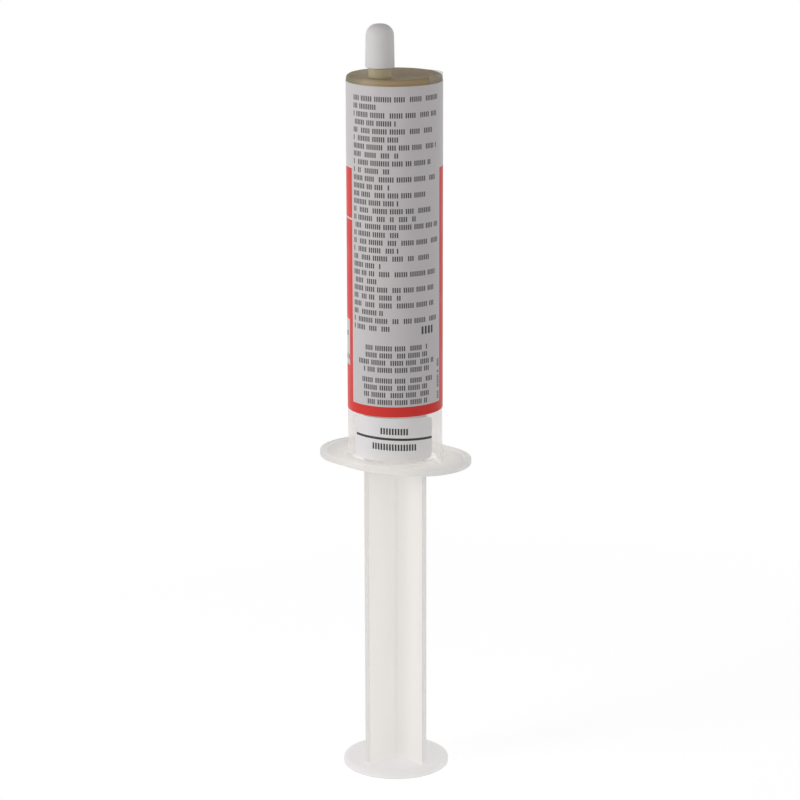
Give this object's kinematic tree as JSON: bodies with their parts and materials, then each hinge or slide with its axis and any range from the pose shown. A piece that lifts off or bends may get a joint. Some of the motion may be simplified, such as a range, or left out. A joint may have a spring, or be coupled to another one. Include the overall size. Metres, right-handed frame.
{
  "type": "grease syringe",
  "caption": "Filled plastic grease syringe with an off-centre slip nozzle, push-on tip cap, finger flange, cross-ribbed plunger with rubber seal, and wrap label.",
  "frame": {"origin": "middle of the thumb plate's underside, on which the syringe stands", "axes": "+Z along the barrel's axis from the thumb plate to the nozzle, X along the wings of the finger flange, nozzle towards -Y"},
  "size_m": [0.0384, 0.0272, 0.1803],
  "materials": {
    "barrel_plastic": "translucent natural polypropylene, smooth moulded gloss",
    "cap_plastic": "opaque white moulded plastic, satin",
    "rod_plastic": "milky natural polyethylene, satin",
    "seal_rubber": "pale natural rubber, moulded, matt",
    "grease": "ochre grease, wet gloss",
    "wrap_label_stock": "printed coated label stock, red and white, satin",
    "batch_label_stock": "plain white coated label stock, satin"
  },
  "bodies": {
    "barrel": {"barrel": "barrel_plastic", "wrap_label": "wrap_label_stock", "batch_label": "batch_label_stock", "grease_charge": "grease"},
    "seal": {"plunger_seal": "seal_rubber"},
    "rod": {"plunger_rod": "rod_plastic"},
    "cap": {"tip_cap": "cap_plastic"}
  },
  "joints": [
    {"name": "plunger_slide", "type": "slide", "parent": "barrel", "child": "seal", "axis": [0, 0, 1], "range_m": [-0.0114, 0.0649], "deforming": ["grease_charge"]},
    {"name": "plunger_spin", "type": "hinge", "parent": "seal", "child": "rod", "pos_m": [0, 0, 0.0945], "axis": [0, 0, 1], "continuous": true},
    {"name": "cap_pull", "type": "slide", "parent": "barrel", "child": "cap", "axis": [0, 0, 1], "range_m": [0, 0.012]}
  ]
}
